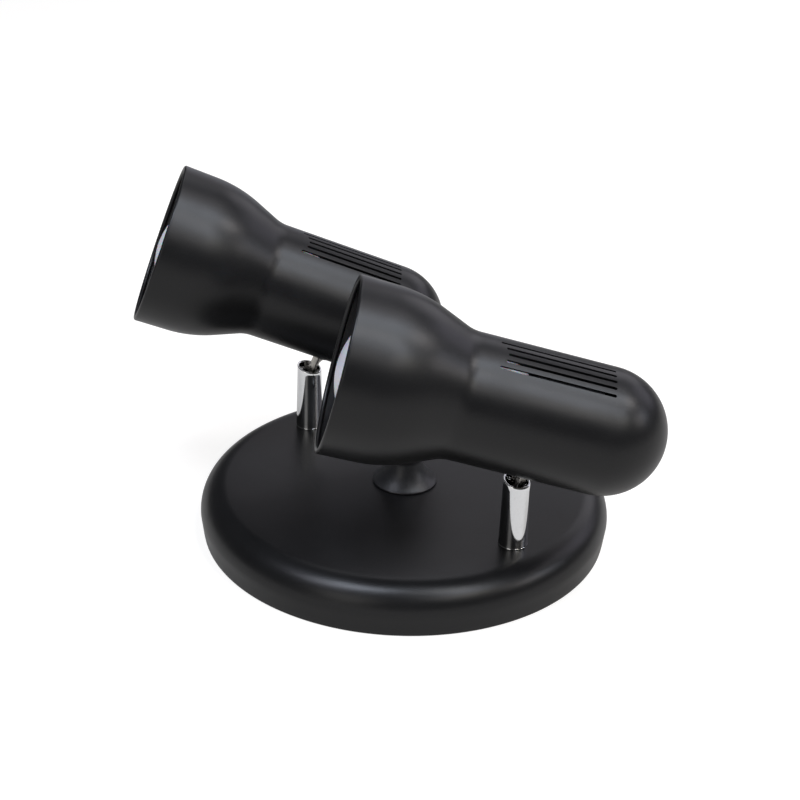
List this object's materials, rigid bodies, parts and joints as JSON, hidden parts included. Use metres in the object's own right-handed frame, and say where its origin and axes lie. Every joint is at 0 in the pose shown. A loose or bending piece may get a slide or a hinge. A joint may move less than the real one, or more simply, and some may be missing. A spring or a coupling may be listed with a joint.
{
  "type": "twin spotlight",
  "caption": "Wall spotlight with a round base, short pinned sleeves and bell-mouthed cylindrical heads with vent slots that pan, tilt and swivel.",
  "frame": {"origin": "centre of the base cover's back plane, where the light meets the wall", "axes": "+Z points away from the wall along the centre rod, +X runs from the left sleeve to the right sleeve, +Y is the direction of the wall screw slots"},
  "size_m": [0.2667, 0.19, 0.1569],
  "materials": {
    "black_paint": "satin black enamel",
    "chrome": "polished chrome plate",
    "nickel": "dull nickel plate",
    "zinc_steel": "zinc plated steel",
    "brass": "plain brass",
    "black_plastic": "satin black moulding",
    "white_plastic": "satin moulding",
    "bulb_glass": "frosted front over a silvered neck",
    "bulb_cap": "bright rolled thread",
    "black_glass": "glossy insulator"
  },
  "bodies": {
    "base": {"base_cover": "black_paint", "mounting_bar": "zinc_steel", "centre_rod": "zinc_steel", "rod_nut": "zinc_steel", "terminal_block": "white_plastic", "terminal_sleeves": "brass", "terminal_screws": "zinc_steel", "block_screw": "zinc_steel", "earth_screw": "brass", "earth_washer": "brass", "right_flat_washer": "zinc_steel", "left_flat_washer": "zinc_steel"},
    "knob": {"knob": "black_plastic", "knob_insert": "brass"},
    "right_stem": {"right_sleeve": "chrome", "right_nipple": "zinc_steel", "right_lock_washer": "zinc_steel", "right_nipple_nut": "zinc_steel", "right_pivot_pin": "chrome"},
    "right_lug": {"right_lug": "nickel", "right_lug_nut": "zinc_steel"},
    "right_head": {"right_head_shell": "black_paint", "right_holder_bracket": "zinc_steel", "right_lampholder": "black_plastic", "right_thread_shell": "brass", "right_centre_contact": "brass", "right_holder_screws": "zinc_steel", "right_bulb_glass": "bulb_glass", "right_bulb_cap": "bulb_cap", "right_bulb_insulator": "black_glass", "right_bulb_tip": "bulb_cap"},
    "left_stem": {"left_sleeve": "chrome", "left_nipple": "zinc_steel", "left_lock_washer": "zinc_steel", "left_nipple_nut": "zinc_steel", "left_pivot_pin": "chrome"},
    "left_lug": {"left_lug": "nickel", "left_lug_nut": "zinc_steel"},
    "left_head": {"left_head_shell": "black_paint", "left_holder_bracket": "zinc_steel", "left_lampholder": "black_plastic", "left_thread_shell": "brass", "left_centre_contact": "brass", "left_holder_screws": "zinc_steel", "left_bulb_glass": "bulb_glass", "left_bulb_cap": "bulb_cap", "left_bulb_insulator": "black_glass", "left_bulb_tip": "bulb_cap"}
  },
  "joints": [
    {"name": "knob_turn", "type": "hinge", "parent": "base", "child": "knob", "pos_m": [0, 0, 0.0225], "axis": [0, 0, 1], "continuous": true},
    {"name": "right_pan", "type": "hinge", "parent": "base", "child": "right_stem", "pos_m": [0.07125, 0, 0.0225], "axis": [0, 0, 1], "range_deg": [-5, 45]},
    {"name": "right_tilt", "type": "hinge", "parent": "right_stem", "child": "right_lug", "pos_m": [0.07125, 0, 0.0486], "axis": [0.0175, 0.9998, 0], "range_deg": [-38, 12]},
    {"name": "right_swivel", "type": "hinge", "parent": "right_lug", "child": "right_head", "pos_m": [0.07125, 0, 0.0486], "axis": [0.3616, -0.0063, 0.9323], "range_deg": [-5, 90]},
    {"name": "left_pan", "type": "hinge", "parent": "base", "child": "left_stem", "pos_m": [-0.07125, 0, 0.0225], "axis": [0, 0, 1], "range_deg": [-45, 5]},
    {"name": "left_tilt", "type": "hinge", "parent": "left_stem", "child": "left_lug", "pos_m": [-0.07125, 0, 0.0486], "axis": [-0.3714, 0.9285, 0], "range_deg": [-40, 10]},
    {"name": "left_swivel", "type": "hinge", "parent": "left_lug", "child": "left_head", "pos_m": [-0.07125, 0, 0.0486], "axis": [0.3658, 0.1463, 0.9191], "range_deg": [-90, 5]}
  ]
}
